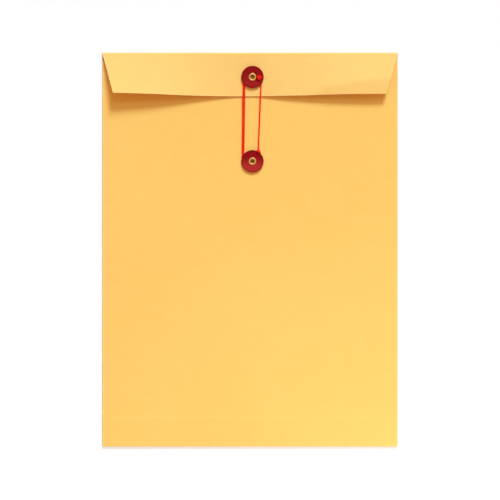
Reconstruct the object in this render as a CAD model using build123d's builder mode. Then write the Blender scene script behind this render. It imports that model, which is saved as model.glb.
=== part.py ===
from build123d import *
import os
from math import asin, cos, degrees, sin

# A paper envelope with a string and button closure, lying flat on its address side.
# X runs across the envelope, Y runs up to the flap's crease, Z points out of the flap side.
# The origin is the middle of the envelope, on the surface that it lies on. Millimetres.

# Envelope and paper
envelope_width = 228.6
envelope_height = 304.8
paper = 0.3
pocket_gap = 1.0
throat_depth = 5.0
edge_setback = 0.3

# Tabs glued inside the pocket
seam_tab_width = 18.0
seam_tab_taper = 6.0
bottom_tab_depth = 23.0
bottom_tab_inset = 2.0
bottom_tab_taper = 7.0
tab_spacing = 1.0
glue_thickness = 0.1
glue_width = 9.0
glue_margin = 5.0

# Closing flap: its corners stand up from the pocket, its middle lies on it
flap_depth = 33.4
flap_taper = 9.4
flap_clearance = 0.9
flap_flat_margin = 2.0
left_corner_lift = 10.4
right_corner_lift = 5.6
left_station_shares = (0, 0.18, 0.45, 0.72, 1)
left_lift_shares = (0, 0.12, 0.5, 0.79, 1)
right_station_shares = (0, 0.25, 0.6, 1)
right_lift_shares = (0, 0.46, 0.82, 1)
cut_overrun = 5.0

# Buttons: a fibre disc held off the paper by a brass eyelet, over a paper patch
button_offset = 1.9
flap_button_drop = 19.2
pocket_button_drop = 84.1
disc_diameter = 17.2
disc_thickness = 0.5
disc_seat_diameter = 6.8
disc_dish = 0.1
disc_edge_round = 0.2
patch_diameter = 24.0
eyelet_bore = 2.9
eyelet_wall = 0.35
eyelet_lip = 0.35
eyelet_flange_diameter = 6.4
eyelet_roll_diameter = 5.4
eyelet_round = 0.15
barrel_clearance = 0.05
seat_clearance = 0.05

# String: knotted through the flap disc, wound round both buttons, its end tucked at the lower one
string_diameter = 1.0
string_clearance = 0.05
string_room = 0.05
string_turns = 2
string_pitch = 1.45
string_right_pitch = 1.95
string_hole_reach = 5.1
string_hole_diameter = 1.7
string_left_top = 5.7
string_left_low = 7.0
string_right_low = 4.2
string_low_reach = 3.0
string_bend = 1.0
string_straight = 0.25
string_edge_bend = 40.0
string_turn_share = 0.47
tail_route = ((6.3, 3.0, 0.0), (6.4, 6.6, 0.05), (6.2, 8.0, 1.0), (5.4, 8.5, 1.8))
tail_bends = (6.0, 3.0, 1.8)
end_knot_place = (4.75, 8.65, 2.0)
end_knot_width = 1.9
end_knot_height = 1.8
flap_knot_width = 3.4
flap_knot_height = 1.9
knot_grip = 0.5
knot_round_share = 0.45
gap_samples = 1500

os.makedirs("parts", exist_ok=True)

# Heights, from the surface up
back_bottom = paper + pocket_gap
back_top = back_bottom + paper
tab_top = back_bottom - glue_thickness
tab_bottom = tab_top - paper
flap_bottom = back_top + flap_clearance
flap_top = flap_bottom + paper

# Folds are half round strips of paper
side_fold_radius = back_top / 2
tab_fold_radius = tab_top / 2
crease_radius = flap_top / 2

# Edges and lines in plan
left_edge = -envelope_width / 2
right_edge = envelope_width / 2
bottom_edge = -envelope_height / 2
crease_line = envelope_height / 2
crease_axis_y = crease_line - crease_radius
throat_line = crease_line - throat_depth
bottom_tab_line = bottom_edge + bottom_tab_depth
flap_edge = crease_line - flap_depth
flap_run = crease_axis_y - flap_edge

# Buttons in plan
flap_button_y = crease_line - flap_button_drop
pocket_button_y = crease_line - pocket_button_drop
barrel_diameter = eyelet_bore + 2 * eyelet_wall
barrel_hole = barrel_diameter + 2 * barrel_clearance

# Address side: one full sheet, at full width where it leads to the flap
with BuildPart() as front_panel:
    with BuildSketch():
        with BuildLine():
            Polyline(
                (left_edge + side_fold_radius, bottom_edge + tab_fold_radius),
                (right_edge - tab_fold_radius, bottom_edge + tab_fold_radius),
                (right_edge - tab_fold_radius, throat_line),
                (right_edge, throat_line),
                (right_edge, crease_axis_y),
                (left_edge, crease_axis_y),
                (left_edge, throat_line),
                (left_edge + side_fold_radius, throat_line),
                close=True,
            )
        make_face()
    extrude(amount=paper)
front_panel.part.label = "front_panel"
export_step(front_panel.part, "parts/front_panel.step")

# Flap side of the pocket, cut back at the throat so that a hand can find the mouth
with BuildPart() as back_panel:
    with BuildSketch(Plane.XY.offset(back_bottom)):
        with BuildLine():
            Polyline(
                (left_edge + side_fold_radius, bottom_edge + edge_setback),
                (right_edge - edge_setback, bottom_edge + edge_setback),
                (right_edge - edge_setback, throat_line),
                (left_edge + side_fold_radius, throat_line),
                close=True,
            )
        make_face()
        with Locations((button_offset, pocket_button_y)):
            Circle(barrel_hole / 2, mode=Mode.SUBTRACT)
    extrude(amount=paper)
back_panel.part.label = "back_panel"
export_step(back_panel.part, "parts/back_panel.step")


def fold_strip(plane, radius, length):
    """A half round paper fold: its outside is on the plane's X side, and it runs along its normal."""
    with BuildPart() as strip:
        with BuildSketch(plane):
            Circle(radius)
            Circle(radius - paper, mode=Mode.SUBTRACT)
            Rectangle(2 * radius, 2 * radius, align=(Align.MAX, Align.CENTER), mode=Mode.SUBTRACT)
        extrude(amount=length)
    return strip


# Left side: the front panel turns straight into the back panel
left_fold_start = bottom_edge + tab_fold_radius
left_fold = fold_strip(
    Plane((left_edge + side_fold_radius, left_fold_start, side_fold_radius), (-1, 0, 0), (0, 1, 0)),
    side_fold_radius,
    throat_line - left_fold_start,
)
left_fold.part.label = "left_fold"
export_step(left_fold.part, "parts/left_fold.step")

# Right side: the front panel turns into a tab that is glued inside the back panel
seam_low = bottom_tab_line + tab_spacing
seam_high = throat_line - tab_spacing
seam_outer = right_edge - tab_fold_radius
seam_inner = right_edge - seam_tab_width
right_fold = fold_strip(
    Plane((seam_outer, seam_low, tab_fold_radius), (1, 0, 0), (0, 1, 0)),
    tab_fold_radius,
    seam_high - seam_low,
)
right_fold.part.label = "right_fold"
export_step(right_fold.part, "parts/right_fold.step")

with BuildPart() as seam_tab:
    with BuildSketch(Plane.XY.offset(tab_bottom)):
        with BuildLine():
            Polyline(
                (seam_outer, seam_low),
                (seam_outer, seam_high),
                (seam_inner, seam_high - seam_tab_taper),
                (seam_inner, seam_low + seam_tab_taper),
                close=True,
            )
        make_face()
    extrude(amount=paper)
seam_tab.part.label = "seam_tab"
export_step(seam_tab.part, "parts/seam_tab.step")

with BuildPart() as seam_glue:
    with BuildSketch(Plane.XY.offset(tab_top)):
        with Locations(((seam_outer + seam_inner) / 2, (seam_low + seam_high) / 2)):
            Rectangle(glue_width, seam_high - seam_low - 2 * (seam_tab_taper + glue_margin))
    extrude(amount=glue_thickness)
seam_glue.part.label = "seam_glue"
export_step(seam_glue.part, "parts/seam_glue.step")

# Bottom: a deep tab folds in from the front panel and is glued inside the back panel
tab_base_y = bottom_edge + tab_fold_radius
tab_base_half = envelope_width / 2 - bottom_tab_inset
tab_end_half = tab_base_half - bottom_tab_taper
bottom_fold = fold_strip(
    Plane((-tab_base_half, tab_base_y, tab_fold_radius), (0, -1, 0), (1, 0, 0)),
    tab_fold_radius,
    2 * tab_base_half,
)
bottom_fold.part.label = "bottom_fold"
export_step(bottom_fold.part, "parts/bottom_fold.step")

with BuildPart() as bottom_tab:
    with BuildSketch(Plane.XY.offset(tab_bottom)):
        with BuildLine():
            Polyline(
                (-tab_base_half, tab_base_y),
                (tab_base_half, tab_base_y),
                (tab_end_half, bottom_tab_line),
                (-tab_end_half, bottom_tab_line),
                close=True,
            )
        make_face()
    extrude(amount=paper)
bottom_tab.part.label = "bottom_tab"
export_step(bottom_tab.part, "parts/bottom_tab.step")

with BuildPart() as bottom_glue:
    with BuildSketch(Plane.XY.offset(tab_top)):
        with Locations((0, (tab_base_y + bottom_tab_line) / 2)):
            Rectangle(2 * (tab_end_half - glue_margin), glue_width)
    extrude(amount=glue_thickness)
bottom_glue.part.label = "bottom_glue"
export_step(bottom_glue.part, "parts/bottom_glue.step")

# Crease between the front panel and the flap, round the pocket's mouth
flap_crease = fold_strip(
    Plane((left_edge, crease_axis_y, crease_radius), (0, 1, 0), (1, 0, 0)),
    crease_radius,
    envelope_width,
)
flap_crease.part.label = "flap_crease"
export_step(flap_crease.part, "parts/flap_crease.step")

# Closing flap: flat where its button is, with two wings that rise towards the corners
flat_half = patch_diameter / 2 + flap_flat_margin
flat_left = button_offset - flat_half
flat_right = button_offset + flat_half
left_wing = (flat_left, left_edge, left_corner_lift, left_station_shares, left_lift_shares)
right_wing = (flat_right, right_edge, right_corner_lift, right_station_shares, right_lift_shares)

with BuildPart() as closing_flap:
    with BuildSketch(Plane.XY.offset(flap_bottom)):
        with BuildLine():
            Polyline(
                (flat_left, flap_edge),
                (flat_right, flap_edge),
                (flat_right, crease_axis_y),
                (flat_left, crease_axis_y),
                close=True,
            )
        make_face()
        with Locations((button_offset, flap_button_y)):
            Circle(barrel_hole / 2, mode=Mode.SUBTRACT)
    extrude(amount=paper)
    for wing_start, wing_end, corner_lift, station_shares, lift_shares in (left_wing, right_wing):
        for station_share, lift_share in zip(station_shares, lift_shares):
            station = wing_start + station_share * (wing_end - wing_start)
            rise = asin(lift_share * corner_lift / flap_run)
            along = Vector(cos(rise), sin(rise)) * flap_run
            across = Vector(-sin(rise), cos(rise)) * paper
            with BuildSketch(Plane((station, crease_axis_y, flap_bottom), (0, -1, 0), (-1, 0, 0))):
                with BuildLine():
                    Polyline((0, 0), along, along + across, (0, paper), close=True)
                make_face()
        loft()
    with BuildSketch(Plane.XY.offset(flap_bottom - cut_overrun)):
        with BuildLine():
            cut_depth = flap_depth + cut_overrun
            cut_half = envelope_width / 2 - flap_taper * cut_depth / flap_depth
            Polyline(
                (left_edge, crease_line),
                (right_edge, crease_line),
                (cut_half, crease_line - cut_depth),
                (-cut_half, crease_line - cut_depth),
                close=True,
            )
        make_face()
    extrude(amount=left_corner_lift + right_corner_lift + 2 * cut_overrun, mode=Mode.INTERSECT)
closing_flap.part.label = "closing_flap"
export_step(closing_flap.part, "parts/closing_flap.step")


def button_patch(y, under):
    """A round paper patch below the sheet that carries a button."""
    with BuildPart() as patch:
        with BuildSketch(Plane.XY.offset(under - paper)):
            with Locations((button_offset, y)):
                Circle(patch_diameter / 2)
                Circle(barrel_hole / 2, mode=Mode.SUBTRACT)
        extrude(amount=paper)
    return patch


def button_axis(y):
    """The axis of a button's eyelet."""
    return Axis((button_offset, y, 0), (0, 0, 1))


def button_plane(y):
    """An upright plane through a button's axis, for profiles drawn as radius and height."""
    return Plane((button_offset, y, 0), (1, 0, 0), (0, -1, 0))


string_space = string_diameter + string_clearance + string_room
disc_slope = disc_dish / ((disc_diameter - disc_seat_diameter) / 2)


def disc_top(sheet_top, reach):
    """Height of a disc's upper face, at some distance from its axis beyond its flat seat."""
    return sheet_top + string_space + disc_thickness + disc_slope * (reach - disc_seat_diameter / 2)


def button_disc(y, sheet_top):
    """A fibre disc with a flat seat and a rim that dishes up, over a space for the string."""
    low = sheet_top + string_space
    with BuildPart() as disc:
        with BuildSketch(button_plane(y)):
            with BuildLine():
                Polyline(
                    (barrel_hole / 2, low),
                    (disc_seat_diameter / 2, low),
                    (disc_diameter / 2, low + disc_dish),
                    (disc_diameter / 2, low + disc_dish + disc_thickness),
                    (disc_seat_diameter / 2, low + disc_thickness),
                    (barrel_hole / 2, low + disc_thickness),
                    close=True,
                )
            make_face()
        revolve(axis=button_axis(y))
        fillet(disc.edges().group_by(SortBy.LENGTH)[-1], disc_edge_round)
    return disc


def button_eyelet(y, sheet_top, under):
    """A brass eyelet: flange over the disc, barrel through the paper, rolled end below the patch."""
    high = sheet_top + string_space + disc_thickness + seat_clearance
    low = under - paper
    with BuildPart() as eyelet:
        with BuildSketch(button_plane(y)):
            with BuildLine():
                Polyline(
                    (eyelet_bore / 2, low - eyelet_lip),
                    (eyelet_roll_diameter / 2, low - eyelet_lip),
                    (eyelet_roll_diameter / 2, low),
                    (barrel_diameter / 2, low),
                    (barrel_diameter / 2, high),
                    (eyelet_flange_diameter / 2, high),
                    (eyelet_flange_diameter / 2, high + eyelet_lip),
                    (eyelet_bore / 2, high + eyelet_lip),
                    close=True,
                )
            make_face()
        revolve(axis=button_axis(y))
        fillet(eyelet.edges().group_by(Axis.Z)[-1], eyelet_round)
        fillet(eyelet.edges().group_by(Axis.Z)[0], eyelet_round)
    return eyelet


# Flap button, with a hole in its disc for the string
flap_patch = button_patch(flap_button_y, flap_bottom)
flap_patch.part.label = "flap_patch"
export_step(flap_patch.part, "parts/flap_patch.step")

flap_eyelet = button_eyelet(flap_button_y, flap_top, flap_bottom)
flap_eyelet.part.label = "flap_eyelet"
export_step(flap_eyelet.part, "parts/flap_eyelet.step")

string_x = button_offset + string_hole_reach
plain_flap_disc = button_disc(flap_button_y, flap_top)
with BuildPart() as flap_disc:
    add(plain_flap_disc.part)
    with BuildSketch(Plane.XY.offset(flap_top)):
        with Locations((string_x, flap_button_y)):
            Circle(string_hole_diameter / 2)
    extrude(amount=string_space + disc_thickness + disc_dish + cut_overrun, mode=Mode.SUBTRACT)
flap_disc.part.label = "flap_disc"
export_step(flap_disc.part, "parts/flap_disc.step")

# Pocket button
pocket_patch = button_patch(pocket_button_y, back_bottom)
pocket_patch.part.label = "pocket_patch"
export_step(pocket_patch.part, "parts/pocket_patch.step")

pocket_eyelet = button_eyelet(pocket_button_y, back_top, back_bottom)
pocket_eyelet.part.label = "pocket_eyelet"
export_step(pocket_eyelet.part, "parts/pocket_eyelet.step")

pocket_disc = button_disc(pocket_button_y, back_top)
pocket_disc.part.label = "pocket_disc"
export_step(pocket_disc.part, "parts/pocket_disc.step")


def knot(place, width, height):
    """A pulled tight knot, drawn as a rounded bead."""
    with BuildPart() as bead:
        with BuildSketch(Plane(place, (1, 0, 0), (0, -1, 0))) as half_bead:
            Rectangle(width / 2, height, align=(Align.MIN, Align.CENTER))
            fillet(half_bead.vertices().group_by(Axis.X)[-1], knot_round_share * height)
        revolve(axis=Axis(place, (0, 0, 1)))
    return bead


# Knot that holds the string's start on top of the flap disc
flap_knot_bottom = disc_top(flap_top, string_hole_reach + string_hole_diameter) + string_clearance
flap_knot = knot(
    (string_x, flap_button_y, flap_knot_bottom + flap_knot_height / 2), flap_knot_width, flap_knot_height
)
flap_knot.part.label = "flap_knot"
export_step(flap_knot.part, "parts/flap_knot.step")

# Route of the string: each turn goes over the flap button, down the left, under the pocket button and up
flap_string_z = flap_top + string_clearance + string_diameter / 2
pocket_string_z = back_top + string_clearance + string_diameter / 2


def turn_radius(right, left):
    """Radius of the string's corners between two runs, as large as their distance allows."""
    return string_turn_share * (right + left)


def over_flap_edge(upper, lower):
    """Where a run between the two buttons comes over the flap's free edge."""
    share = (upper[1] - flap_edge + string_diameter) / (upper[1] - lower[1])
    return (upper[0] + share * (lower[0] - upper[0]), flap_edge - string_diameter, flap_string_z)


top_reach = string_bend + turn_radius(string_hole_reach, string_left_top) + string_straight
route = [
    (string_x, flap_button_y, flap_knot_bottom + knot_grip),
    (string_x, flap_button_y, flap_string_z),
]
bends = [string_bend]
for turn in range(string_turns):
    out = turn * string_pitch
    right_out = turn * string_right_pitch
    top_y = flap_button_y + top_reach + out
    low_y = pocket_button_y - string_low_reach - out
    upper_right = (string_x + right_out, top_y, flap_string_z)
    if turn:
        route.append(over_flap_edge(upper_right, lower_right))
        bends.append(string_edge_bend)
    upper_left = (button_offset - string_left_top - out, top_y, flap_string_z)
    lower_left = (button_offset - string_left_low - out, low_y, pocket_string_z)
    lower_right = (button_offset + string_right_low + right_out, low_y, pocket_string_z)
    route += [upper_right, upper_left, over_flap_edge(upper_left, lower_left), lower_left, lower_right]
    upper_radius = turn_radius(string_hole_reach, string_left_top) + out
    lower_radius = turn_radius(string_right_low, string_left_low) + out
    bends += [upper_radius, upper_radius, string_edge_bend, lower_radius, lower_radius]
pocket_button = Vector(button_offset, pocket_button_y, pocket_string_z)
route += [tuple(pocket_button + Vector(*step)) for step in tail_route]
bends += tail_bends

with BuildPart() as tie_string:
    with BuildLine() as string_line:
        FilletPolyline(*route, radius=bends)
    with BuildSketch(Plane(string_line.line @ 0, z_dir=string_line.line % 0)):
        Circle(string_diameter / 2)
    sweep()
tie_string.part.label = "tie_string"
export_step(tie_string.part, "parts/tie_string.step")

# Knot at the string's free end, lodged on the rising run beside the lower disc
end_knot = knot(tuple(pocket_button + Vector(*end_knot_place)), end_knot_width, end_knot_height)
end_knot.part.label = "end_knot"
export_step(end_knot.part, "parts/end_knot.step")

# Measures of the string: length, bends, volume against its section, least gap to itself
string_wire = Wire(string_line.line.edges())
string_length = string_wire.length
string_points = [string_wire @ (step / gap_samples) for step in range(gap_samples + 1)]
step_length = string_length / gap_samples
apart = int((2 * string_bend + 2 * string_diameter) / step_length)
least_gap = min(
    (string_points[one] - string_points[other]).length
    for one in range(len(string_points))
    for other in range(one + apart, len(string_points))
)
string_section = string_length * Circle(string_diameter / 2).area
print("string length", round(string_length, 1))
print("string bends", [round(bend, 2) for bend in bends])
print("string volume over section times length", round(tie_string.part.volume / string_section, 4))
print("string least gap to itself", round(least_gap - string_diameter, 3))
print("flap corner rise in degrees", round(degrees(asin(left_corner_lift / flap_run)), 2))
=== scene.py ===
from math import ceil, cos, hypot, pi, radians, sin

import bpy
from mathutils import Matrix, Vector, noise


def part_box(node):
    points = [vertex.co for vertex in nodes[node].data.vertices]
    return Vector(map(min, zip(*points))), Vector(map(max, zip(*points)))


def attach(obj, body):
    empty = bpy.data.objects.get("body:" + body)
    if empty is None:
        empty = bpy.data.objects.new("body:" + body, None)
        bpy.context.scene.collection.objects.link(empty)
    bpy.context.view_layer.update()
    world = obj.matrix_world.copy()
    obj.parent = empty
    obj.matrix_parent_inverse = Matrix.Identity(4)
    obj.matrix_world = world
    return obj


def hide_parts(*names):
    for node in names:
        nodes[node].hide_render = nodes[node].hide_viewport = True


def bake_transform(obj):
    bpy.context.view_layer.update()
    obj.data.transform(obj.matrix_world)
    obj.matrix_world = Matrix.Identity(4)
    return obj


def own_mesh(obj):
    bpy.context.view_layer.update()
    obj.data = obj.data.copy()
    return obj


# A paper envelope with a string and button closure, seen square on from above.
# Metres, in the frame of the solids: X across, Y up to the flap's crease, Z out of the flap side.
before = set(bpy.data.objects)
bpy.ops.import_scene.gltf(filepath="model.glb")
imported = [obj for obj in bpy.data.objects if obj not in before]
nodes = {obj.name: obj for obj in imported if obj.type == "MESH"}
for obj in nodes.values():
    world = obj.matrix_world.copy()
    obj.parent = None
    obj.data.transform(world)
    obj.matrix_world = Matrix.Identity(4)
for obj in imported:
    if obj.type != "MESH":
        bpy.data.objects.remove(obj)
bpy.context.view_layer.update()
scene = bpy.context.scene
mm = 0.001

# Sizes and places that the solids give
back_low, back_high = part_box("back_panel")
crease_low, crease_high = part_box("flap_crease")
paper = back_high.z - back_low.z
half_width = crease_high.x
crease_radius = crease_high.z / 2
crease_axis_y = crease_low.y
flap_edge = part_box("closing_flap")[0].y
pocket_top = back_high.z
flap_top = crease_high.z


def middle_of(node):
    """The middle of a solid's box, in plan."""
    low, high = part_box(node)
    return Vector(((low.x + high.x) / 2, (low.y + high.y) / 2, 0))


flap_button = middle_of("flap_eyelet")
pocket_button = middle_of("pocket_eyelet")

# Camera, framed as the photograph
photo_pixels = 500
pixel = 0.773 * mm
view_centre = (0, -0.2 * mm)
camera_distance = 1050 * mm

# Light: a soft, cool key beyond the crease, a weaker lamp of the same colour above it, a small white lamp in
# front, and a warm fill from all round. Together they light a flat sheet about evenly and in white, and
# shadows come out warm.
key_turn_deg = 14
key_spread_deg = 17
key_colour = (0.73, 1.05, 1.3)
key_height_deg = 36
key_share = 0.525
top_height_deg = 60
top_share = 0.09
fill_share = 0.335
fill_colour = (1.5, 0.88, 0.4)
front_place = (0.22, -0.36, 0.2)
front_size = 0.2
front_watts = 0.6

# Table: grey under the lamps, and lifted to white where it is seen
floor_size = 6.0
floor_drop = 0.1 * mm
floor_grey = 0.5
floor_lift = 0.52
floor_roughness = 0.9
white = (1, 1, 1)

# Paper sheets
sheet_step = 3.0 * mm
edge_steps = (0.25 * mm, 0.7 * mm, 1.5 * mm)
fold_steps = 12
wave_height = 0.3 * mm
wave_length = 85 * mm
wave_margin = 14 * mm
wave_place = (3.1, 7.7, 0.4)
button_flat = (12 * mm, 30 * mm)
tab_rise = 0.12 * mm
tab_slope = 1.4 * mm
tab_slope_steps = 4
tab_corner_cut = 0.3
seam_rise = 0.06 * mm
edge_wear_width = 0.9 * mm
crease_wear = 0.5
fold_wear = 0.8
# Painted sheen: the whole flap is painted paler, as if it were lit more than the pocket.
flap_painted_sheen = 0.34
sharp_angle_deg = 50

# Closing flap, by place across in millimetres: the lift of its free edge in millimetres, then the share of
# its run at which the right end curls down. Its free edge is a little askew.
flap_lifts = (
    (-114.3, 10.4), (-101, 9.6), (-87, 8.5), (-73, 7.1), (-59, 5.3), (-45, 3.3), (-31, 1.6), (-19, 0.6),
    (-11, 0.1), (-7, 0), (8, 0), (13, 0.5), (20, 1.2), (27, 1.8), (41, 2.8), (55, 3.6), (69, 4.5), (89, 5.3),
    (114.3, 5.4),
)
curl_starts = ((39, 1.0), (70, 0.77), (107, 0.64), (114.3, 0.61))
curl_slope = 0.27
curl_width_share = 0.2
curl_reach = (30 * mm, 62 * mm)
flap_taper = 9.4 * mm
flap_extra = 0.48 * mm
flap_askew = 0.36 * mm
flap_steps = 40

# Buttons. An arc is given by its first angle, its last angle and its steps.
disc_thickness = 0.5 * mm
disc_seat = 3.4 * mm
disc_round = 0.2 * mm
disc_shares = (0.15, 0.3, 0.45, 0.6, 0.75, 0.9)
disc_under_arc = (-75, 0, 5)
disc_top_arc = (0, 100, 6)
# Each disc turns darker towards its rim, from the first of these reaches in from its edge to the second.
disc_rim_darkening = (1.5 * mm, 0.2 * mm)
disc_segments = 96
# Painted light: each disc's lower half is painted paler; the span runs across its height, and the two
# strengths are for the upper and the lower disc.
painted_light_span = (0.5, -0.6)
upper_painted_light = 0.35
lower_painted_light = 1.0
eyelet_segments = 64
eyelet_bore = 2.9 * mm
eyelet_wall = 0.35 * mm
eyelet_trim = 0.25 * mm
eyelet_lip = 0.35 * mm
eyelet_roll = 2.7 * mm
eyelet_roll_round = 0.17 * mm
eyelet_roll_arc = (90, -90, 8)
eyelet_mouth_round = 0.3 * mm
eyelet_mouth_arc = (-90, -180, 5)
eyelet_sharp_deg = 60
flange_steps = 12
# Painted shade on the flange's outer side fades out at this share of the lip below its top.
flange_shade_share = 0.3
barrel_room = 0.1 * mm
barrel_hole = eyelet_bore + 2 * eyelet_wall + barrel_room
string_hole = 1.7 * mm

# String: its route follows the solid's, with points added beside the buttons and on the long runs
string_diameter = 1.0 * mm
string_clearance = 0.05 * mm
string_turns = 2
string_pitch = 1.08 * mm
string_right_pitch = 2.05 * mm
string_hole_reach = 5.1 * mm
string_left_top = 5.8 * mm
string_left_low = 6.8 * mm
string_right_low = 4.12 * mm
string_top_reach = 6.326 * mm
string_low_reach = 3.0 * mm
string_start_height = 5.015 * mm
tail_route = (
    (6.3 * mm, 3.0 * mm, 0),
    (5.9 * mm, 7.0 * mm, 0.05 * mm),
    (5.5 * mm, 7.9 * mm, 0.9 * mm),
    (5.0 * mm, 8.0 * mm, 1.8 * mm),
)
upper_shoulder = 10.8 * mm
lower_shoulder = 11.2 * mm
disc_approach = 17.7 * mm
line_steps = 16
ply_count = 3
ply_radius_share = 0.31
ply_offset_share = 0.225
ply_twist = 2.9 * mm
ply_step = 0.16 * mm
ply_sides = 7

# Knots at the string's two ends. A form is a size, a height and a turn in degrees.
knot_points = 30
knot_lobes = 3
knot_start_share = 0.03
knot_run_share = 0.94
start_knot_shift = (0.1 * mm, -0.4 * mm, 0)
start_knot_form = (0.54 * mm, 0.42 * mm, 30)
start_knot_stub = (0.9 * mm, 0.6 * mm, -0.2 * mm)
tail_knot_shift = (-0.1 * mm, -0.8 * mm, 0.05 * mm)
tail_knot_form = (0.36 * mm, 0.4 * mm, 40)
tail_knot_share = 0.8

# Pressed fibres, and a mask of rubbed edges and painted light. Scales are waves in a metre, and a range gives
# the levels of noise that are drawn out to 0 and 1, or to two other values after them.
hair_turns_deg = (18, 77, 131)
hair_stretch = 7.0
hair_range = (0.45, 0.8)
cloud_range = (0.3, 0.7)
cloud_height = 0.5
fleck_range = (0.7, 0.78)
grain_range = (0.3, 0.7, 0.45, 1.2)

# Paper: its colours, the shares of its fibres, and its relief as strength and depth
golden_body = (0.97, 0.57, 0.135)
golden_pale = (0.985, 0.625, 0.17)
golden_deep = (0.93, 0.5, 0.1)
patch_body = (0.86, 0.53, 0.15)
patch_pale = (0.9, 0.6, 0.2)
patch_deep = (0.74, 0.42, 0.1)
# Paler tone of rubbed folds and edges, which is also painted over the whole flap as sheen.
worn_and_sheen_paper = (0.98, 0.69, 0.36)
paper_scales = {"Hair scale": 1900.0, "Cloud scale": 110.0, "Fleck scale": 700.0}
paper_wear_and_sheen = {"Grain scale": 500.0, "Amount": 0.55}
mottle_scale = 9.0
mottle_range = (0.35, 0.65, 0.0, 0.35)
paper_cloud_share = 0.22
paper_hair_share = 0.3
paper_fleck_share = 0.35
paper_roughness = (0.72, 0.84)
paper_gloss = 0.15
paper_relief = (0.16, 0.03 * mm)

# Red fibre of the discs
fibre_dark = (0.215, 0.002, 0.003)
fibre_light = (0.29, 0.003, 0.005)
fibre_hair = (0.4, 0.01, 0.011)
fibre_fleck = (0.12, 0.002, 0.003)
# Painted light on each disc's lower half.
fibre_painted_light = (0.49, 0.03, 0.024)
fibre_rim = (0.12, 0.001, 0.002)
fibre_scales = {"Hair scale": 2600.0, "Cloud scale": 420.0, "Fleck scale": 1500.0}
fibre_rim_darkening = {"Grain scale": 1400.0, "Amount": 0.5}
fibre_hair_share = 0.35
fibre_fleck_share = 0.5
fibre_painted_light_share = 0.8
fibre_roughness = (0.68, 0.8)
fibre_gloss = 0.07
fibre_relief = (0.25, 0.04 * mm)

# Brass of the eyelets
brass_bright = (0.57, 0.275, 0.077)
# Near-black brass: its stains, and painted shade halfway down the bore and at the flange's outer rim.
brass_stain_and_shade = (0.03, 0.01, 0.003)
stain_scale = 900.0
stain_range = (0.4, 0.75)
stain_share = 0.35
scratch_turn_deg = 32
scratch_stretch = 16.0
scratch_scale = 6500.0
scratch_range = (0.5, 0.75)
scratch_roughness = 0.08
scratch_relief = (0.08, 0.01 * mm)
brass_roughness = (0.47, 0.62)

# Cotton of the string
cotton_deep = (0.95, 0.014, 0.004)
cotton_bright = (0.98, 0.022, 0.008)
cotton_lint = (0.96, 0.05, 0.03)
cotton_scale = 260.0
cotton_range = (0.35, 0.65)
lint_scale = 5200.0
lint_range = (0.42, 0.7)
lint_share = 0.3
lint_relief = (0.4, 0.05 * mm)
cotton_roughness = (0.7, 0.9)
cotton_gloss = 0.06

# Dried glue
glue_deep = (0.74, 0.6, 0.36)
glue_pale = (0.86, 0.77, 0.56)
glue_scale = 160.0
glue_roughness = (0.3, 0.5)
glue_relief = (0.3, 0.05 * mm)


def smooth(low, high, value):
    """Rises smoothly from 0 to 1 as a value goes from low to high."""
    share = min(max((value - low) / (high - low), 0), 1)
    return share * share * (3 - 2 * share)


def through(points, place):
    """Height at a place on the smooth line through (place, height) points."""
    last = len(points) - 2
    index = 0
    while index < last and place > points[index + 1][0]:
        index += 1
    before = points[max(index - 1, 0)]
    start, end = points[index], points[index + 1]
    after = points[min(index + 2, last + 1)]
    span = end[0] - start[0]
    leave = (end[1] - before[1]) / (end[0] - before[0]) * span
    arrive = (after[1] - start[1]) / (after[0] - start[0]) * span
    share = min(max((place - start[0]) / span, 0), 1)
    rest = 1 - share
    height = rest * rest * (1 + 2 * share) * start[1] + share * share * (3 - 2 * share) * end[1]
    return height + share * rest * rest * leave - share * share * rest * arrive


def even_lines(low, high, step):
    """Places from low to high, about a step apart."""
    count = ceil((high - low) / step)
    return [low + (high - low) * index / count for index in range(count + 1)]


def edged_lines(low, high, step):
    """Places from low to high that lie closer together near both ends."""
    inner = even_lines(low + edge_steps[-1], high - edge_steps[-1], step)
    near_low = [low] + [low + edge for edge in edge_steps[:-1]]
    near_high = [high - edge for edge in reversed(edge_steps[:-1])] + [high]
    return near_low + inner + near_high


def new_piece(name, mesh):
    """An object at the origin for a mesh."""
    piece = bpy.data.objects.new(name, mesh)
    scene.collection.objects.link(piece)
    return piece


def settle(piece):
    """Turns what an object's modifiers make into its plain mesh."""
    bpy.context.view_layer.update()
    shown = piece.evaluated_get(bpy.context.evaluated_depsgraph_get())
    mesh = bpy.data.meshes.new_from_object(shown)
    mesh.name = piece.name
    if piece.type == "MESH":
        piece.modifiers.clear()
        piece.data = mesh
        return piece
    name = piece.name
    bpy.data.objects.remove(piece)
    return new_piece(name, mesh)


def keep_values(mesh, name, values):
    """Keeps a value at each point of a mesh, for its material."""
    attribute = mesh.attributes.new(name, "FLOAT", "POINT")
    attribute.data.foreach_set("value", values)


def paper_sheet(name, rows, wear_and_light):
    """A closed sheet of paper round rows of points on its middle surface."""
    width = len(rows[0])
    faces = []
    for row in range(len(rows) - 1):
        for column in range(width - 1):
            here = row * width + column
            above = here + width
            faces.append((here, here + 1, above + 1, above))
    mesh = bpy.data.meshes.new(name)
    mesh.from_pydata([point for row in rows for point in row], [], faces)
    keep_values(mesh, "wear_and_light", [value for row in wear_and_light for value in row])
    piece = new_piece(name, mesh)
    thickness = piece.modifiers.new("Paper", "SOLIDIFY")
    thickness.thickness = paper
    thickness.offset = 0
    thickness.use_even_offset = True
    return settle(piece)


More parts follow.
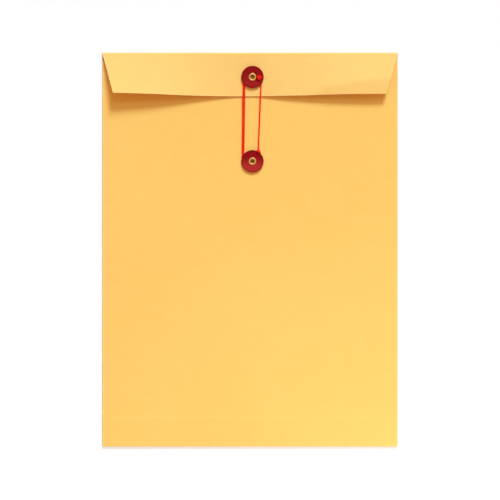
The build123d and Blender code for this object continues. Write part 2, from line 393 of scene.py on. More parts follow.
def lathe(name, profile, centre, segments, wear_and_light):
    """A ring turned round an upright axis from a closed profile of radius and height."""
    count = len(profile)
    points = []
    for segment in range(segments):
        turn = 2 * pi * segment / segments
        points += [(centre.x + r * cos(turn), centre.y + r * sin(turn), z) for r, z in profile]
    faces = []
    for segment in range(segments):
        here = segment * count
        there = (segment + 1) % segments * count
        for index in range(count):
            after = (index + 1) % count
            faces.append((here + index, there + index, there + after, here + after))
    mesh = bpy.data.meshes.new(name)
    mesh.from_pydata(points, [], faces)
    keep_values(mesh, "wear_and_light", [wear_and_light(r, z) for r, z in profile] * segments)
    return new_piece(name, mesh)


def cut_hole(piece, centre, diameter):
    """Cuts a round upright hole through a piece."""
    profile_points = 48
    reach = 60 * mm
    turns = [2 * pi * index / profile_points for index in range(profile_points)]
    ring = [(centre.x + diameter / 2 * cos(turn), centre.y + diameter / 2 * sin(turn)) for turn in turns]
    points = [(x, y, z) for z in (-reach, reach) for x, y in ring]
    faces = [tuple(reversed(range(profile_points))), tuple(range(profile_points, 2 * profile_points))]
    for index in range(profile_points):
        after = (index + 1) % profile_points
        faces.append((index, after, after + profile_points, index + profile_points))
    mesh = bpy.data.meshes.new("hole")
    mesh.from_pydata(points, [], faces)
    drill = new_piece("hole", mesh)
    cut = piece.modifiers.new("Hole", "BOOLEAN")
    cut.object = drill
    cut.operation = "DIFFERENCE"
    settle(piece)
    bpy.data.objects.remove(drill)
    return piece


def shade_smooth(piece, angle_deg):
    """Smooth shading with creases where faces turn by more than an angle."""
    piece.data.shade_smooth()
    piece.data.set_sharp_from_angle(angle=radians(angle_deg))
    return piece


# Shader helpers


def put(tree, kind, values=None, **settings):
    """A node with its settings, and with values or sockets on its inputs."""
    node = tree.nodes.new(kind)
    for name, setting in settings.items():
        setattr(node, name, setting)
    for socket, value in (values or {}).items():
        if isinstance(value, bpy.types.NodeSocket):
            tree.links.new(value, node.inputs[socket])
        else:
            node.inputs[socket].default_value = value
    return node


def mix(tree, share, first, second):
    """A colour between two others. A Mix node takes colours on inputs 6 and 7 and gives one on output 2."""
    return put(tree, "ShaderNodeMix", {0: share, 6: first, 7: second}, data_type="RGBA").outputs[2]


def maths(tree, operation, first, second):
    """The result of a sum on one or two values."""
    return put(tree, "ShaderNodeMath", {0: first, 1: second}, operation=operation).outputs[0]


def ranged(tree, value, low, high, to_low=0.0, to_high=1.0):
    """A value moved from one range to another and held inside it."""
    values = {"Value": value, "From Min": low, "From Max": high, "To Min": to_low, "To Max": to_high}
    return put(tree, "ShaderNodeMapRange", values).outputs["Result"]


def clouds(tree, place, scale, detail=2.0, rough=0.5):
    """Soft noise from 0 to 1."""
    values = {"Vector": place, "Scale": scale, "Detail": detail, "Roughness": rough}
    return put(tree, "ShaderNodeTexNoise", values).outputs["Fac"]


def drawn_out(tree, place, turn_deg, stretch):
    """Coordinates turned in plan, on which noise is drawn out into streaks."""
    values = {"Vector": place, "Rotation": (0, 0, radians(turn_deg)), "Scale": (1.0, stretch, 1.0)}
    return put(tree, "ShaderNodeMapping", values, vector_type="TEXTURE").outputs["Vector"]


def colour(red, green, blue):
    """A colour in linear light."""
    return (red, green, blue, 1.0)


def new_group(name, values, results):
    """A node group that reads a place and named values. Returns its tree, what it reads and what it gives."""
    tree = bpy.data.node_groups.new(name, "ShaderNodeTree")
    tree.interface.new_socket("Place", in_out="INPUT", socket_type="NodeSocketVector")
    for title in values:
        tree.interface.new_socket(title, in_out="INPUT", socket_type="NodeSocketFloat")
    for title in results:
        tree.interface.new_socket(title, in_out="OUTPUT", socket_type="NodeSocketFloat")
    return tree, tree.nodes.new("NodeGroupInput").outputs, tree.nodes.new("NodeGroupOutput").inputs


def fibre_group():
    """Pressed fibres: fine crossing hairs, cloudy patches and a few flecks."""
    scales = ("Hair scale", "Cloud scale", "Fleck scale")
    tree, given, made = new_group("Pressed fibres", scales, ("Hairs", "Clouds", "Flecks", "Height"))
    place = given["Place"]
    layers = []
    for turn_deg in hair_turns_deg:
        drawn = drawn_out(tree, place, turn_deg, hair_stretch)
        layers.append(clouds(tree, drawn, given["Hair scale"]))
    hairs = maths(tree, "MAXIMUM", maths(tree, "MAXIMUM", layers[0], layers[1]), layers[2])
    hairs = ranged(tree, hairs, *hair_range)
    patches = clouds(tree, place, given["Cloud scale"], detail=4.0, rough=0.6)
    patches = ranged(tree, patches, *cloud_range)
    flecks = clouds(tree, place, given["Fleck scale"], detail=1.0)
    flecks = ranged(tree, flecks, *fleck_range)
    height = maths(tree, "ADD", hairs, maths(tree, "MULTIPLY", patches, cloud_height))
    tree.links.new(hairs, made["Hairs"])
    tree.links.new(patches, made["Clouds"])
    tree.links.new(flecks, made["Flecks"])
    tree.links.new(height, made["Height"])
    return tree


def wear_and_light_group():
    """Rubbed edges and painted light: the mesh's kept value, broken up by the surface's own grain."""
    tree, given, made = new_group("Rubbed edges", ("Wear", "Grain scale", "Amount"), ("Rubbed",))
    grain = clouds(tree, given["Place"], given["Grain scale"], detail=3.0)
    grain = ranged(tree, grain, *grain_range)
    wear_and_light_row = maths(tree, "MULTIPLY", grain, given["Wear"])
    wear_and_light_row = maths(tree, "MULTIPLY", wear_and_light_row, given["Amount"])
    tree.links.new(ranged(tree, wear_and_light_row, 0.0, 1.0), made["Rubbed"])
    return tree


fibres_tree = fibre_group()
wear_and_light_tree = wear_and_light_group()


def new_material(name):
    """A material, its tree, its shader, and the piece's own coordinates."""
    material = bpy.data.materials.new(name)
    material.use_nodes = True
    tree = material.node_tree
    place = tree.nodes.new("ShaderNodeTexCoord").outputs["Object"]
    return material, tree, tree.nodes["Principled BSDF"], place


def kept(tree, name):
    """A value that a mesh keeps at its points."""
    return put(tree, "ShaderNodeAttribute", attribute_name=name).outputs["Fac"]


def pressed_fibres(tree, place, scales):
    """The hairs, clouds, flecks and height of a piece's fibres."""
    return put(tree, "ShaderNodeGroup", {"Place": place, **scales}, node_tree=fibres_tree).outputs


def wear_and_light_mask(tree, place, amounts):
    """How strongly a piece is marked, from 0 to 1: rubbed folds and edges, a darker disc rim, and painted
    sheen on the flap.
    """
    values = {"Place": place, "Wear": kept(tree, "wear_and_light"), **amounts}
    return put(tree, "ShaderNodeGroup", values, node_tree=wear_and_light_tree).outputs["Rubbed"]


def tinted(tree, tone, mask, share, tint):
    """A tone that takes up a share of a tint where a mask says so."""
    return mix(tree, maths(tree, "MULTIPLY", mask, share), tone, colour(*tint))


def paint(tree, shader, tone, rough):
    """Puts a tone and a roughness on a shader."""
    tree.links.new(tone, shader.inputs["Base Color"])
    tree.links.new(rough, shader.inputs["Roughness"])


def bump(tree, shader, height, strength, depth):
    """Small relief from a height between 0 and 1."""
    values = {"Height": height, "Strength": strength, "Distance": depth}
    tree.links.new(put(tree, "ShaderNodeBump", values).outputs["Normal"], shader.inputs["Normal"])


def paper_material(name, body, pale, deep):
    """Heavy dyed paper: cloudy, with fine fibres, and paler where folds and edges are rubbed and where sheen
    is painted over the flap.
    """
    material, tree, shader, place = new_material(name)
    fibres = pressed_fibres(tree, place, paper_scales)
    broad = ranged(tree, clouds(tree, place, mottle_scale), *mottle_range)
    tone = mix(tree, broad, colour(*body), colour(*pale))
    tone = tinted(tree, tone, fibres["Clouds"], paper_cloud_share, deep)
    tone = tinted(tree, tone, fibres["Hairs"], paper_hair_share, pale)
    tone = tinted(tree, tone, fibres["Flecks"], paper_fleck_share, deep)
    # Paler where folds and edges are rubbed, and over the whole flap as painted sheen.
    tone = mix(tree, wear_and_light_mask(tree, place, paper_wear_and_sheen), tone, colour(*worn_and_sheen_paper))
    paint(tree, shader, tone, ranged(tree, fibres["Hairs"], 0.0, 1.0, *paper_roughness))
    shader.inputs["Specular IOR Level"].default_value = paper_gloss
    bump(tree, shader, fibres["Height"], *paper_relief)
    return material


def fibre_disc_material():
    """Red fibre board: pressed, a little mottled, darker at its rim, and painted paler on its lower half as
    if lit there.
    """
    material, tree, shader, place = new_material("red fibre board")
    fibres = pressed_fibres(tree, place, fibre_scales)
    tone = mix(tree, fibres["Clouds"], colour(*fibre_dark), colour(*fibre_light))
    tone = tinted(tree, tone, fibres["Hairs"], fibre_hair_share, fibre_hair)
    tone = tinted(tree, tone, fibres["Flecks"], fibre_fleck_share, fibre_fleck)
    # Painted light: the lower half of a disc is painted paler.
    tone = tinted(tree, tone, kept(tree, "painted_light"), fibre_painted_light_share, fibre_painted_light)
    # Darker towards the rim.
    tone = mix(tree, wear_and_light_mask(tree, place, fibre_rim_darkening), tone, colour(*fibre_rim))
    paint(tree, shader, tone, ranged(tree, fibres["Clouds"], 0.0, 1.0, *fibre_roughness))
    shader.inputs["Specular IOR Level"].default_value = fibre_gloss
    bump(tree, shader, fibres["Height"], *fibre_relief)
    return material


def brass_material():
    """Worn brass with stains, painted shade halfway down its bore and at its flange's outer rim, and fine
    scratches.
    """
    material, tree, shader, place = new_material("eyelet brass")
    stain = clouds(tree, place, stain_scale, detail=4.0, rough=0.65)
    stain = maths(tree, "MULTIPLY", ranged(tree, stain, *stain_range), stain_share)
    # Painted shade: the brass darkens halfway down the bore and at the flange's outer rim.
    painted_shade = maths(tree, "SUBTRACT", 1.0, kept(tree, "wear_and_light"))
    stain_and_shade = ranged(tree, maths(tree, "ADD", stain, painted_shade), 0.0, 1.0)
    tone = mix(tree, stain_and_shade, colour(*brass_bright), colour(*brass_stain_and_shade))
    drawn = drawn_out(tree, place, scratch_turn_deg, scratch_stretch)
    scratches = ranged(tree, clouds(tree, drawn, scratch_scale), *scratch_range)
    rough = ranged(tree, stain_and_shade, 0.0, 1.0, *brass_roughness)
    rough = maths(tree, "ADD", rough, maths(tree, "MULTIPLY", scratches, scratch_roughness))
    paint(tree, shader, tone, rough)
    shader.inputs["Metallic"].default_value = 1.0
    bump(tree, shader, scratches, *scratch_relief)
    return material


def string_material():
    """Twisted red cotton: its tone changes slowly along each ply, under fine lint."""
    material, tree, shader, place = new_material("red cotton string")
    values = {"X": kept(tree, "along"), "Y": kept(tree, "ply")}
    lane = put(tree, "ShaderNodeCombineXYZ", values).outputs["Vector"]
    slow = ranged(tree, clouds(tree, lane, cotton_scale), *cotton_range)
    lint = clouds(tree, place, lint_scale, detail=3.0, rough=0.65)
    lint = ranged(tree, lint, *lint_range)
    tone = mix(tree, slow, colour(*cotton_deep), colour(*cotton_bright))
    tone = tinted(tree, tone, lint, lint_share, cotton_lint)
    paint(tree, shader, tone, ranged(tree, lint, 0.0, 1.0, *cotton_roughness))
    shader.inputs["Specular IOR Level"].default_value = cotton_gloss
    bump(tree, shader, lint, *lint_relief)
    return material


def glue_material():
    """A dried line of glue: smooth, cloudy and a little yellow."""
    material, tree, shader, place = new_material("dried glue")
    patches = clouds(tree, place, glue_scale, detail=4.0, rough=0.6)
    patches = ranged(tree, patches, *cloud_range)
    tone = mix(tree, patches, colour(*glue_deep), colour(*glue_pale))
    paint(tree, shader, tone, ranged(tree, patches, 0.0, 1.0, *glue_roughness))
    bump(tree, shader, patches, *glue_relief)
    return material


envelope_paper = paper_material("golden envelope paper", golden_body, golden_pale, golden_deep)
patch_paper = paper_material("button patch paper", patch_body, patch_pale, patch_deep)
fibre_board = fibre_disc_material()
brass = brass_material()
red_cotton = string_material()
glue = glue_material()


def finish_piece(piece, material, slot, body, *replaced):
    """Gives a piece its finish and its body, and lets it stand for solids."""
    piece.data.materials.clear()
    piece.data.materials.append(material)
    if replaced:
        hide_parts(*replaced)
    if body:
        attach(piece, body)
    return piece


# Pocket


def edge_wear(distance):
    """Wear of paper at some distance from its cut edge or fold."""
    return 1 - smooth(0, edge_wear_width, distance)


def pocket_rise(x, y):
    """How far the flap side of the pocket stands above its flat place."""
    tab_low, tab_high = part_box("bottom_tab")
    seam_low, seam_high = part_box("seam_tab")
    inside = min(x - back_low.x, back_high.x - x, y - back_low.y, back_high.y - y)
    calm = smooth(0, wave_margin, inside)
    calm *= smooth(*button_flat, hypot(x - pocket_button.x, y - pocket_button.y))
    wave = noise.noise(Vector((x, y, 0)) / wave_length + Vector(wave_place))
    over_tab = smooth(tab_high.y + tab_slope / 2, tab_high.y - tab_slope / 2, y)
    over_tab *= smooth(tab_slope, -tab_slope, abs(x) - tab_high.x + (y - tab_low.y) * tab_corner_cut)
    over_seam = smooth(seam_low.x - tab_slope, seam_low.x + tab_slope, x)
    over_seam *= smooth(seam_high.y, seam_high.y - wave_margin, y)
    return calm * wave_height * (1 + wave) / 2 + max(over_tab * tab_rise, over_seam * seam_rise)


def make_pocket_back():
    """Flap side of the pocket with the fold along its left side."""
    fold_low, fold_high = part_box("left_fold")
    axis_x = fold_high.x
    axis_z = (fold_low.z + fold_high.z) / 2
    radius = (fold_high.z - fold_low.z - paper) / 2
    level = (back_low.z + back_high.z) / 2
    fold = []
    for step in range(fold_steps):
        turn = -pi / 2 - pi * step / fold_steps
        fold.append((axis_x + radius * cos(turn), axis_z + radius * sin(turn)))
    across = edged_lines(axis_x, back_high.x, sheet_step)
    tab_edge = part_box("bottom_tab")[1].y
    up = [y for y in edged_lines(back_low.y, back_high.y, sheet_step) if abs(y - tab_edge) > tab_slope]
    up = sorted(up + even_lines(tab_edge - tab_slope, tab_edge + tab_slope, tab_slope / tab_slope_steps))
    rows, wear_and_light = [], []
    for y in up:
        ends = min(y - back_low.y, back_high.y - y)
        row = [(x, y, z) for x, z in fold]
        row += [(x, y, level + pocket_rise(x, y)) for x in across]
        wear_and_light_row = [max(fold_wear, edge_wear(ends))] * len(fold)
        wear_and_light_row += [edge_wear(min(ends, x - axis_x, back_high.x - x)) for x in across]
        rows.append(row)
        wear_and_light.append(wear_and_light_row)
    piece = paper_sheet("pocket_back", rows, wear_and_light)
    cut_hole(piece, pocket_button, barrel_hole)
    shade_smooth(piece, sharp_angle_deg)
    finish_piece(piece, envelope_paper, "envelope_paper", "pocket", "back_panel", "left_fold")


def make_right_side():
    """Fold along the right side of the pocket, which runs on down to the bottom corner."""
    low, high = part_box("right_fold")
    middle_z = (low.z + high.z) / 2
    radius = (high.z - low.z - paper) / 2
    turns = [pi * step / fold_steps - pi / 2 for step in range(fold_steps + 1)]
    arch = [(low.x + radius * cos(turn), middle_z + radius * sin(turn)) for turn in turns]
    rows = [[(x, y, z) for x, z in arch] for y in even_lines(back_low.y, high.y, sheet_step)]
    wear_and_light = [[fold_wear] * len(arch) for _ in rows]
    piece = paper_sheet("right_side", rows, wear_and_light)
    shade_smooth(piece, sharp_angle_deg)
    finish_piece(piece, envelope_paper, "envelope_paper", "pocket", "right_fold")


# Closing flap


def flap_slope(x, share):
    """Slope of the flap at a share of its run, from its lift and the curl of its right end."""
    run = crease_axis_y - flap_edge
    lift = through(flap_lifts, x / mm) * mm / run
    curl = curl_slope * smooth(*curl_reach, x)
    start = through(curl_starts, max(x / mm, curl_starts[0][0]))
    curled_run = max(1 - start, 0)
    straight = lift + curl * curled_run
    bend = smooth(start - curl_width_share / 2, start + curl_width_share / 2, share)
    return straight - curl * bend


def make_flap():
    """Closing flap with the crease that joins it to the address side, as one bent sheet."""
    radius = crease_radius - paper / 2
    run = crease_axis_y - flap_edge
    depth = crease_high.y - flap_edge
    half_step = 0.5 / flap_steps
    columns = edged_lines(-half_width, half_width, sheet_step)
    rises = [flap_slope(x, 0) for x in columns]
    rows, wear_and_light = [], []
    for step in range(fold_steps + 1):
        row, wear_and_light_row = [], []
        for x, rise in zip(columns, rises):
            turn = (pi - rise) * step / fold_steps - pi / 2
            narrowing = 1 - max(sin(turn), 0) * crease_radius * flap_taper / depth / half_width
            y = crease_axis_y + radius * cos(turn)
            z = crease_radius + radius * sin(turn)
            row.append((x * narrowing, y, z))
            # Rubbed crease and edges, and painted sheen over the whole flap.
            wear_and_light_row.append(max(flap_painted_sheen, crease_wear * cos(turn), edge_wear(half_width - abs(x))))
        rows.append(row)
        wear_and_light.append(wear_and_light_row)
    for step in range(1, flap_steps + 1):
        share = step / flap_steps
        narrowing = 1 - (crease_radius + share * run) * flap_taper / depth / half_width
        row, wear_and_light_row = [], []
        for x, (_, y, z) in zip(columns, rows[-1]):
            place = x * narrowing
            slope = flap_slope(place, share - half_step)
            length = (run + flap_extra - flap_askew * x / half_width) / flap_steps
            row.append((place, y - cos(slope) * length, z + sin(slope) * length))
            inside = min(half_width * narrowing - abs(place), (1 - share) * run)
            # Rubbed free edge and ends, and painted sheen over the whole flap.
            wear_and_light_row.append(max(flap_painted_sheen, edge_wear(inside)))
        rows.append(row)
        wear_and_light.append(wear_and_light_row)
    piece = paper_sheet("flap_sheet", rows, wear_and_light)
    cut_hole(piece, flap_button, barrel_hole)
    shade_smooth(piece, sharp_angle_deg)
    finish_piece(piece, envelope_paper, "envelope_paper", None, "closing_flap", "flap_crease")
    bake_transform(piece)


# Buttons


def arc(centre_r, centre_z, radius, first_deg, last_deg, steps):
    """Points of a profile along an arc."""
    turns = [radians(first_deg + (last_deg - first_deg) * index / steps) for index in range(steps + 1)]
    return [(centre_r + radius * cos(turn), centre_z + radius * sin(turn)) for turn in turns]


def make_disc(name, node, centre, body, painted_light):
    """A pressed fibre disc with a flat seat, a dished rim and rounded edges."""
    low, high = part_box(node)
    hole = barrel_hole / 2
    rim = (high.x - low.x) / 2
    dish = high.z - low.z - disc_thickness
    top = low.z + disc_thickness
    edge = rim - disc_round
    slope_run = edge - disc_seat
    wear_start, wear_end = disc_rim_darkening
    profile = [(hole, low.z), (disc_seat, low.z)]
    profile += [(disc_seat + slope_run * share, low.z + dish * share**2) for share in disc_shares]
    profile += arc(edge, low.z + dish + disc_round, disc_round, *disc_under_arc)
    profile += arc(edge, high.z - disc_round, disc_round, *disc_top_arc)
    profile += [(disc_seat + slope_run * share, top + dish * share**2) for share in reversed(disc_shares)]
    profile += [(disc_seat, top), (hole, top)]

    def rim_darkening(r, z):
        return smooth(rim - wear_start, rim - wear_end, r)

    piece = lathe(name, profile, centre, disc_segments, rim_darkening)
    if node == "flap_disc":
        cut_hole(piece, centre + Vector((string_hole_reach, 0, 0)), string_hole)
    # Painted light: the disc's lower half is painted paler.
    heights = [(point.co.y - centre.y) / rim for point in piece.data.vertices]
    keep_values(piece.data, "painted_light", [painted_light * smooth(*painted_light_span, height) for height in heights])
    shade_smooth(piece, sharp_angle_deg)
    finish_piece(piece, fibre_board, "button_fibre", body, node)


def make_eyelet(name, node, centre, body):
    """A brass eyelet: a domed flange, a barrel and a rolled end."""
    low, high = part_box(node)
    bore = eyelet_bore / 2
    outer = (high.x - low.x) / 2 - eyelet_trim
    barrel = bore + eyelet_wall
    crest = (bore + outer) / 2
    roll = eyelet_roll - eyelet_roll_round
    mouth = bore + eyelet_mouth_round
    profile = []
    for step in range(flange_steps + 1):
        turn = radians(180 - 180 * step / flange_steps)
        drop = eyelet_lip if cos(turn) > 0 else 2 * eyelet_lip
        profile.append((crest + (outer - bore) / 2 * cos(turn), high.z - (1 - sin(turn)) * drop))
    profile += [(barrel, high.z - eyelet_lip), (barrel, low.z + eyelet_lip)]
    profile += arc(roll, low.z + eyelet_roll_round, eyelet_roll_round, *eyelet_roll_arc)
    profile += arc(mouth, low.z + eyelet_mouth_round, eyelet_mouth_round, *eyelet_mouth_arc)
    halfway = (low.z + high.z) / 2
    profile.append((bore, halfway))

    # Painted shade: 1 where the brass is lit, down to 0 halfway down the bore and at the flange's outer rim.
    def light_and_shade(r, z):
        if z < halfway:
            return smooth(halfway, low.z + eyelet_lip, z)
        if r > crest:
            return smooth(high.z - eyelet_lip, high.z - flange_shade_share * eyelet_lip, z)
        return smooth(halfway, high.z - eyelet_lip, z)

    piece = lathe(name, profile[::-1], centre, eyelet_segments, light_and_shade)
    shade_smooth(piece, eyelet_sharp_deg)
    finish_piece(piece, brass, "eyelet_brass", body, node)


# String


def string_height(y):
    """Height of the string's middle: on the flap to just past its edge, then down to the pocket."""
    room = string_clearance + string_diameter / 2
    start = flap_edge - string_diameter
    end = pocket_button.y - string_low_reach
    share = min(max((start - y) / (start - end), 0), 1)
    return flap_top + room + share * (pocket_top - flap_top)


def string_route():
    """Control points of the string's line: its knot, two turns round both buttons, and its tail."""
    start_x = flap_button.x + string_hole_reach
    route = [
        Vector((start_x, flap_button.y, string_start_height)),
        Vector((start_x, flap_button.y, string_height(flap_button.y))),
    ]
    rising = None
    for turn in range(string_turns):
        out = turn * string_pitch
        right_out = turn * string_right_pitch
        top = flap_button.y + string_top_reach + out
        low = pocket_button.y - string_low_reach - out
        right_top = start_x + right_out
        left_top = flap_button.x - string_left_top - out
        left_low = pocket_button.x - string_left_low - out
        right_low = pocket_button.x + string_right_low + right_out
        beside = (
            top - upper_shoulder,
            flap_edge - string_diameter,
            low + disc_approach,
            low + lower_shoulder,
        )
        if rising:
            rising_x, rising_y = rising
            for y in reversed(beside):
                share = (y - rising_y) / (top - rising_y)
                route.append(Vector((rising_x + share * (right_top - rising_x), y, string_height(y))))
        route.append(Vector((right_top, top, string_height(top))))
        route.append(Vector((left_top, top, string_height(top))))
        for y in beside:
            share = (top - y) / (top - low)
            route.append(Vector((left_top + share * (left_low - left_top), y, string_height(y))))
        route.append(Vector((left_low, low, string_height(low))))
        route.append(Vector((right_low, low, string_height(low))))
        rising = (right_low, low)
    tail_start = Vector((pocket_button.x, pocket_button.y, string_height(low)))
    route += [tail_start + Vector(step) for step in tail_route]
    return route


def string_line(name, points):
    """A smooth line with these control points."""
    curve = bpy.data.curves.new(name, "CURVE")
    curve.dimensions = "3D"
    spline = curve.splines.new("NURBS")
    spline.points.add(len(points) - 1)
    for control, point in zip(spline.points, points):
        control.co = (*point, 1)
    spline.order_u = 3
    spline.use_endpoint_u = True
    spline.resolution_u = line_steps
    return new_piece(name, curve)


def line_points(line):
    """Points along a smooth line."""
    bpy.context.view_layer.update()
    shown = line.evaluated_get(bpy.context.evaluated_depsgraph_get())
    mesh = bpy.data.meshes.new_from_object(shown)
    return [vertex.co.copy() for vertex in mesh.vertices]


def mark_points(tree, geometry, name, value):
    """Geometry that keeps a value at its points."""
    values = {"Geometry": geometry, "Name": name, "Value": value}
    return put(tree, "GeometryNodeStoreNamedAttribute", values, data_type="FLOAT", domain="POINT").outputs[0]


def ply_tree():
    """Geometry nodes that lay twisted plies along a line."""
    tree = bpy.data.node_groups.new("Twisted plies", "GeometryNodeTree")
    tree.interface.new_socket("Line", in_out="INPUT", socket_type="NodeSocketGeometry")
    for title, kind in (
        ("Ply count", "NodeSocketInt"),
        ("Ply radius", "NodeSocketFloat"),
        ("Ply offset", "NodeSocketFloat"),
        ("Twist length", "NodeSocketFloat"),
        ("Step", "NodeSocketFloat"),
        ("Sides", "NodeSocketInt"),
        ("Finish", "NodeSocketMaterial"),
    ):
        tree.interface.new_socket(title, in_out="INPUT", socket_type=kind)
    tree.interface.new_socket("String", in_out="OUTPUT", socket_type="NodeSocketGeometry")
    given = tree.nodes.new("NodeGroupInput").outputs
    made = tree.nodes.new("NodeGroupOutput")
    values = {"Curve": given["Line"], "Length": given["Step"]}
    evened = put(tree, "GeometryNodeResampleCurve", values, mode="LENGTH").outputs[0]
    along = tree.nodes.new("GeometryNodeSplineParameter").outputs["Length"]
    marked = mark_points(tree, evened, "along", along)
    values = {"Geometry": marked, "Amount": given["Ply count"]}
    plies = put(tree, "GeometryNodeDuplicateElements", values, domain="SPLINE")
    ply = plies.outputs["Duplicate Index"]
    named = mark_points(tree, plies.outputs["Geometry"], "ply", ply)
    turns = maths(tree, "DIVIDE", along, given["Twist length"])
    phase = maths(tree, "DIVIDE", ply, given["Ply count"])
    turn = maths(tree, "MULTIPLY", maths(tree, "ADD", turns, phase), 2 * pi)
    tangent = tree.nodes.new("GeometryNodeInputTangent").outputs[0]
    normal = tree.nodes.new("GeometryNodeInputNormal").outputs["Normal"]
    side = put(tree, "ShaderNodeVectorMath", {0: tangent, 1: normal}, operation="CROSS_PRODUCT").outputs[0]
    out = maths(tree, "MULTIPLY", maths(tree, "COSINE", turn, 0.0), given["Ply offset"])
    over = maths(tree, "MULTIPLY", maths(tree, "SINE", turn, 0.0), given["Ply offset"])
    outward = put(tree, "ShaderNodeVectorMath", {0: normal, "Scale": out}, operation="SCALE").outputs[0]
    sideways = put(tree, "ShaderNodeVectorMath", {0: side, "Scale": over}, operation="SCALE").outputs[0]
    shift = put(tree, "ShaderNodeVectorMath", {0: outward, 1: sideways}, operation="ADD").outputs[0]
    laid = put(tree, "GeometryNodeSetPosition", {"Geometry": named, "Offset": shift}).outputs[0]
    values = {"Resolution": given["Sides"], "Radius": given["Ply radius"]}
    ring = put(tree, "GeometryNodeCurvePrimitiveCircle", values).outputs[0]
    values = {"Curve": laid, "Profile Curve": ring, "Fill Caps": True}
    tubes = put(tree, "GeometryNodeCurveToMesh", values).outputs[0]
    whole = put(tree, "GeometryNodeRealizeInstances", {"Geometry": tubes}).outputs[0]
    values = {"Geometry": whole, "Material": given["Finish"]}
    finished = put(tree, "GeometryNodeSetMaterial", values)
    tree.links.new(finished.outputs[0], made.inputs["String"])
    return tree


def twist_plies(line, tree, diameter):
    """Turns a line into string of a diameter."""
    values = {
        "Ply count": ply_count,
        "Ply radius": ply_radius_share * diameter,
        "Ply offset": ply_offset_share * diameter,
        "Twist length": ply_twist * diameter / string_diameter,
        "Step": ply_step,
        "Sides": ply_sides,
        "Finish": red_cotton,
    }
    plies = line.modifiers.new("Plies", "NODES")
    plies.node_group = tree
    for item in tree.interface.items_tree:
        if item.in_out == "INPUT" and item.name in values:
            plies[item.identifier] = values[item.name]
    piece = settle(line)
    piece.data.shade_smooth()
    return piece


def knot_line(name, centre, size, height, turn_deg, stub):
    """The line of a tight overhand knot with three crossing lobes, and its cut end if one is given."""
    points = []
    for index in range(knot_points):
        turn = 2 * pi * (knot_start_share + knot_run_share * index / (knot_points - 1))
        reach = (2 + cos(knot_lobes * turn)) * size
        flat = 2 * turn + radians(turn_deg)
        rise = height * sin(knot_lobes * turn)
        points.append(centre + Vector((reach * cos(flat), reach * sin(flat), rise)))
    if stub:
        points.append(points[-1] + Vector(stub) / 2)
        points.append(points[-1] + Vector(stub) / 2)
    return string_line(name, points)


def make_string():
    """The string with the knots at its two ends."""
    tree = ply_tree()
    low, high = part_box("flap_knot")
    centre = (low + high) / 2 + Vector(start_knot_shift)
    line = knot_line("start_knot", centre, *start_knot_form, start_knot_stub)
    knot = twist_plies(line, tree, string_diameter)
    finish_piece(knot, red_cotton, "string_cotton", "flap", "flap_knot")
    low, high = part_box("end_knot")
    centre = (low + high) / 2 + Vector(tail_knot_shift)
    line = knot_line("tail_knot", centre, *tail_knot_form, None)
    end = twist_plies(line, tree, tail_knot_share * string_diameter)
    finish_piece(end, red_cotton, "string_cotton", "flap", "end_knot")
    line = string_line("string", string_route())
    path = line_points(line)
    string = twist_plies(line, tree, string_diameter)
    finish_piece(string, red_cotton, "string_cotton", "flap", "tie_string")
    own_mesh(string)
    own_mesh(end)


def dress_solids():
    """Better finishes for the solids that keep showing."""
    finishes = {
        "front_panel": envelope_paper,
        "bottom_fold": envelope_paper,
        "seam_tab": envelope_paper,
        "bottom_tab": envelope_paper,
        "flap_patch": patch_paper,
        "pocket_patch": patch_paper,
        "seam_glue": glue,
        "bottom_glue": glue,
    }
    for node, material in finishes.items():
        nodes[node].data.materials.clear()
        nodes[node].data.materials.append(material)


# Camera, light and floor


def make_camera():
    """A camera straight above the envelope."""
    camera = bpy.data.objects.new("Camera", bpy.data.cameras.new("Camera"))
    scene.collection.objects.link(camera)
    camera.location = (*view_centre, pocket_top + camera_distance)
    camera.data.lens = camera.data.sensor_width * camera_distance / (photo_pixels * pixel)
    scene.camera = camera


def seen_directly(tree):
    """1 for what the camera sees, also in metal and through glass, and 0 for light."""
    rays = tree.nodes.new("ShaderNodeLightPath").outputs
    seen = maths(tree, "MAXIMUM", rays["Is Camera Ray"], rays["Is Glossy Ray"])
    return maths(tree, "MAXIMUM", seen, rays["Is Transmission Ray"])


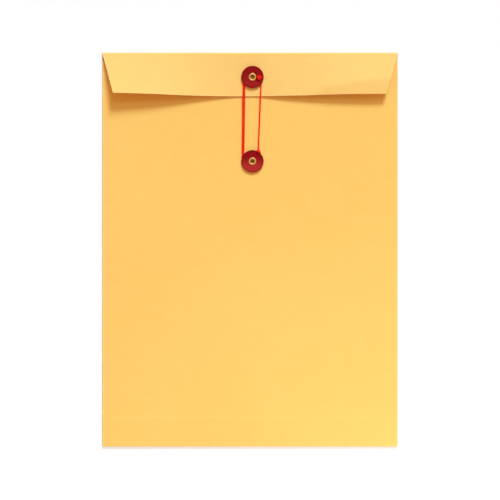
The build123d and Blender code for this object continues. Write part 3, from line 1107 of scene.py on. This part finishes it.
def make_sun(name, height_deg, share):
    """A soft lamp beyond the crease, which gives a flat sheet a share of its light."""
    height = radians(height_deg)
    turn = radians(key_turn_deg)
    lamp = bpy.data.lights.new(name, "SUN")
    lamp.angle = radians(key_spread_deg)
    lamp.energy = share * pi / sin(height)
    lamp.color = key_colour
    sun = bpy.data.objects.new(name, lamp)
    scene.collection.objects.link(sun)
    sun.location = Vector((sin(turn) * cos(height), cos(turn) * cos(height), sin(height)))
    sun.rotation_mode = "QUATERNION"
    sun.rotation_quaternion = sun.location.to_track_quat("Z", "Y")


def make_light():
    """The key, the lamp above it, the lamp in front and the even fill."""
    make_sun("Key", key_height_deg, key_share)
    make_sun("Top", top_height_deg, top_share)
    lamp = bpy.data.lights.new("Front", "AREA")
    lamp.size = front_size
    lamp.energy = front_watts
    front = bpy.data.objects.new("Front", lamp)
    scene.collection.objects.link(front)
    front.location = front_place
    front.rotation_mode = "QUATERNION"
    front.rotation_quaternion = front.location.to_track_quat("Z", "Y")
    world = bpy.data.worlds.new("Fill")
    scene.world = world
    world.use_nodes = True
    tree = world.node_tree
    seen = seen_directly(tree)
    strength = ranged(tree, seen, 0.0, 1.0, fill_share, 1.0)
    tree.links.new(strength, tree.nodes["Background"].inputs["Strength"])
    tone = mix(tree, seen, colour(*fill_colour), colour(*white))
    tree.links.new(tone, tree.nodes["Background"].inputs["Color"])


def make_floor():
    """A white table that keeps the envelope's shadow."""
    half = floor_size / 2
    mesh = bpy.data.meshes.new("floor")
    corners = [(-half, -half), (half, -half), (half, half), (-half, half)]
    mesh.from_pydata([(x, y, -floor_drop) for x, y in corners], [], [(0, 1, 2, 3)])
    floor = new_piece("floor", mesh)
    material, tree, shader, _ = new_material("white table")
    shader.inputs["Base Color"].default_value = colour(floor_grey, floor_grey, floor_grey)
    shader.inputs["Roughness"].default_value = floor_roughness
    shader.inputs["Specular IOR Level"].default_value = 0.0
    shader.inputs["Emission Color"].default_value = colour(*white)
    lift = maths(tree, "MULTIPLY", seen_directly(tree), floor_lift)
    tree.links.new(lift, shader.inputs["Emission Strength"])
    floor.data.materials.append(material)


make_camera()
make_light()
make_floor()
make_string()
make_pocket_back()
make_right_side()
make_flap()
make_disc("upper_disc", "flap_disc", flap_button, "flap", upper_painted_light)
make_disc("lower_disc", "pocket_disc", pocket_button, "lower_button", lower_painted_light)
make_eyelet("upper_eyelet", "flap_eyelet", flap_button, "flap")
make_eyelet("lower_eyelet", "pocket_eyelet", pocket_button, "pocket")
dress_solids()
scene.view_settings.view_transform = "Standard"
